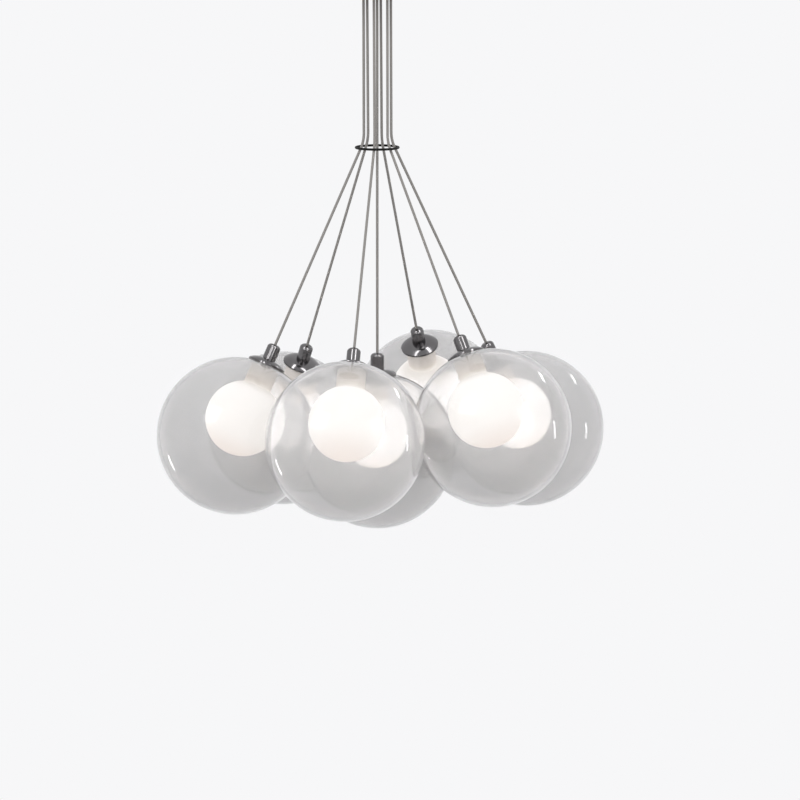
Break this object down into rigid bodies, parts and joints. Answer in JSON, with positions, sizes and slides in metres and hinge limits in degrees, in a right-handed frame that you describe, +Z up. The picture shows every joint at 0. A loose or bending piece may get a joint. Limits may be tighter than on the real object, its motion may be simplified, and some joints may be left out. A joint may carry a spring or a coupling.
{
  "type": "cluster pendant",
  "caption": "Cluster of clear glass globes with frosted inner balls, hung on thin cords from a round ceiling canopy and drawn together by a wire ring.",
  "frame": {"origin": "centre of the bracket's face on the ceiling", "axes": "+Z up, +X to the right in the picture, +Y away from the camera"},
  "size_m": [0.4288, 0.4838, 0.5725],
  "materials": {
    "bracket_steel": "zinc-plated sheet",
    "dark_chrome": "dark chrome, bright",
    "driver_case": "moulded, matt",
    "terminal_plastic": "moulded, matt",
    "lead_sleeve": "thin insulated wire",
    "cord_sheath": "thin round cord, satin",
    "black_wire": "black wire, satin",
    "holder_ceramic": "white ceramic",
    "bulb_glass": "small capsule, lit",
    "frosted_glass": "white frosted, smooth",
    "clear_glass": "clear, polished, slightly grey"
  },
  "bodies": {
    "ceiling_mount": {"ceiling_bracket": "bracket_steel", "canopy": "dark_chrome", "canopy_screws": "dark_chrome", "driver": "driver_case", "terminal_blocks": "terminal_plastic", "inner_leads": "lead_sleeve", "cord_grips": "dark_chrome", "grip_nuts": "dark_chrome", "upper_cords": "cord_sheath", "cord_centre": "cord_sheath"},
    "ring": {"gathering_ring": "black_wire"},
    "drop_left": {"cord_left": "cord_sheath"},
    "lamp_left": {"stem_left": "dark_chrome", "cap_left": "dark_chrome", "holder_left": "holder_ceramic", "bulb_left": "bulb_glass"},
    "glass_left": {"diffuser_left": "frosted_glass", "globe_left": "clear_glass"},
    "drop_rear_left": {"cord_rear_left": "cord_sheath"},
    "lamp_rear_left": {"stem_rear_left": "dark_chrome", "cap_rear_left": "dark_chrome", "holder_rear_left": "holder_ceramic", "bulb_rear_left": "bulb_glass"},
    "glass_rear_left": {"diffuser_rear_left": "frosted_glass", "globe_rear_left": "clear_glass"},
    "drop_front": {"cord_front": "cord_sheath"},
    "lamp_front": {"stem_front": "dark_chrome", "cap_front": "dark_chrome", "holder_front": "holder_ceramic", "bulb_front": "bulb_glass"},
    "glass_front": {"diffuser_front": "frosted_glass", "globe_front": "clear_glass"},
    "lamp_centre": {"stem_centre": "dark_chrome", "cap_centre": "dark_chrome", "holder_centre": "holder_ceramic", "bulb_centre": "bulb_glass"},
    "glass_centre": {"diffuser_centre": "frosted_glass", "globe_centre": "clear_glass"},
    "drop_rear": {"cord_rear": "cord_sheath"},
    "lamp_rear": {"stem_rear": "dark_chrome", "cap_rear": "dark_chrome", "holder_rear": "holder_ceramic", "bulb_rear": "bulb_glass"},
    "glass_rear": {"diffuser_rear": "frosted_glass", "globe_rear": "clear_glass"},
    "drop_front_right": {"cord_front_right": "cord_sheath"},
    "lamp_front_right": {"stem_front_right": "dark_chrome", "cap_front_right": "dark_chrome", "holder_front_right": "holder_ceramic", "bulb_front_right": "bulb_glass"},
    "glass_front_right": {"diffuser_front_right": "frosted_glass", "globe_front_right": "clear_glass"},
    "drop_right": {"cord_right": "cord_sheath"},
    "lamp_right": {"stem_right": "dark_chrome", "cap_right": "dark_chrome", "holder_right": "holder_ceramic", "bulb_right": "bulb_glass"},
    "glass_right": {"diffuser_right": "frosted_glass", "globe_right": "clear_glass"}
  },
  "joints": [
    {"name": "ring_slide", "type": "slide", "parent": "ceiling_mount", "child": "ring", "axis": [0, 0, 1], "range_m": [0, 0.06]},
    {"name": "swing_left", "type": "hinge", "parent": "ceiling_mount", "child": "drop_left", "pos_m": [-0.01692, -0.00789, -0.208], "axis": [-0.4226, 0.9063, 0], "range_deg": [0, 15]},
    {"name": "twist_left", "type": "hinge", "parent": "drop_left", "child": "lamp_left", "pos_m": [-0.09714, -0.0453, -0.38893], "axis": [0.3983, 0.1857, 0.8983], "range_deg": [-90, 90]},
    {"name": "glass_left", "type": "slide", "parent": "lamp_left", "child": "glass_left", "axis": [-0.3983, -0.1857, -0.8983], "range_m": [0, 0.06]},
    {"name": "swing_rear_left", "type": "hinge", "parent": "ceiling_mount", "child": "drop_rear_left", "pos_m": [-0.01145, 0.01465, -0.208], "axis": [0.788, 0.6157, 0], "range_deg": [0, 15]},
    {"name": "twist_rear_left", "type": "hinge", "parent": "drop_rear_left", "child": "lamp_rear_left", "pos_m": [-0.06822, 0.08732, -0.40719], "axis": [0.2587, -0.3311, 0.9075], "range_deg": [-90, 90]},
    {"name": "glass_rear_left", "type": "slide", "parent": "lamp_rear_left", "child": "glass_rear_left", "axis": [-0.2587, 0.3311, -0.9075], "range_m": [0, 0.06]},
    {"name": "swing_front", "type": "hinge", "parent": "ceiling_mount", "child": "drop_front", "pos_m": [-0.0033, -0.01874, -0.208], "axis": [-0.9848, 0.1736, 0], "range_deg": [0, 15]},
    {"name": "twist_front", "type": "hinge", "parent": "drop_front", "child": "lamp_front", "pos_m": [-0.02174, -0.1233, -0.3824], "axis": [0.0903, 0.5121, 0.8542], "range_deg": [-90, 90]},
    {"name": "glass_front", "type": "slide", "parent": "lamp_front", "child": "glass_front", "axis": [-0.0903, -0.5121, -0.8542], "range_m": [0, 0.06]},
    {"name": "twist_centre", "type": "hinge", "parent": "ceiling_mount", "child": "lamp_centre", "pos_m": [0, 0, -0.40295], "axis": [0, 0, 1], "range_deg": [-90, 90]},
    {"name": "glass_centre", "type": "slide", "parent": "lamp_centre", "child": "glass_centre", "axis": [0, 0, -1], "range_m": [0, 0.06]},
    {"name": "swing_rear", "type": "hinge", "parent": "ceiling_mount", "child": "drop_rear", "pos_m": [0.00584, 0.01796, -0.208], "axis": [0.9511, -0.309, 0], "range_deg": [0, 15]},
    {"name": "twist_rear", "type": "hinge", "parent": "drop_rear", "child": "lamp_rear", "pos_m": [0.03834, 0.11801, -0.39479], "axis": [-0.1516, -0.4667, 0.8713], "range_deg": [-90, 90]},
    {"name": "glass_rear", "type": "slide", "parent": "lamp_rear", "child": "glass_rear", "axis": [0.1516, 0.4667, -0.8713], "range_m": [0, 0.06]},
    {"name": "swing_front_right", "type": "hinge", "parent": "ceiling_mount", "child": "drop_front_right", "pos_m": [0.0133, -0.0133, -0.208], "axis": [-0.7071, -0.7071, 0], "range_deg": [0, 15]},
    {"name": "twist_front_right", "type": "hinge", "parent": "drop_front_right", "child": "lamp_front_right", "pos_m": [0.07699, -0.07699, -0.3762], "axis": [-0.3338, 0.3338, 0.8816], "range_deg": [-90, 90]},
    {"name": "glass_front_right", "type": "slide", "parent": "lamp_front_right", "child": "glass_front_right", "axis": [0.3338, -0.3338, -0.8816], "range_m": [0, 0.06]},
    {"name": "swing_right", "type": "hinge", "parent": "ceiling_mount", "child": "drop_right", "pos_m": [0.01791, 0.00514, -0.208], "axis": [0.2756, -0.9613, 0], "range_deg": [0, 15]},
    {"name": "twist_right", "type": "hinge", "parent": "drop_right", "child": "lamp_right", "pos_m": [0.10478, 0.03005, -0.39685], "axis": [-0.4149, -0.119, 0.902], "range_deg": [-90, 90]},
    {"name": "glass_right", "type": "slide", "parent": "lamp_right", "child": "glass_right", "axis": [0.4149, 0.119, -0.902], "range_m": [0, 0.06]}
  ]
}
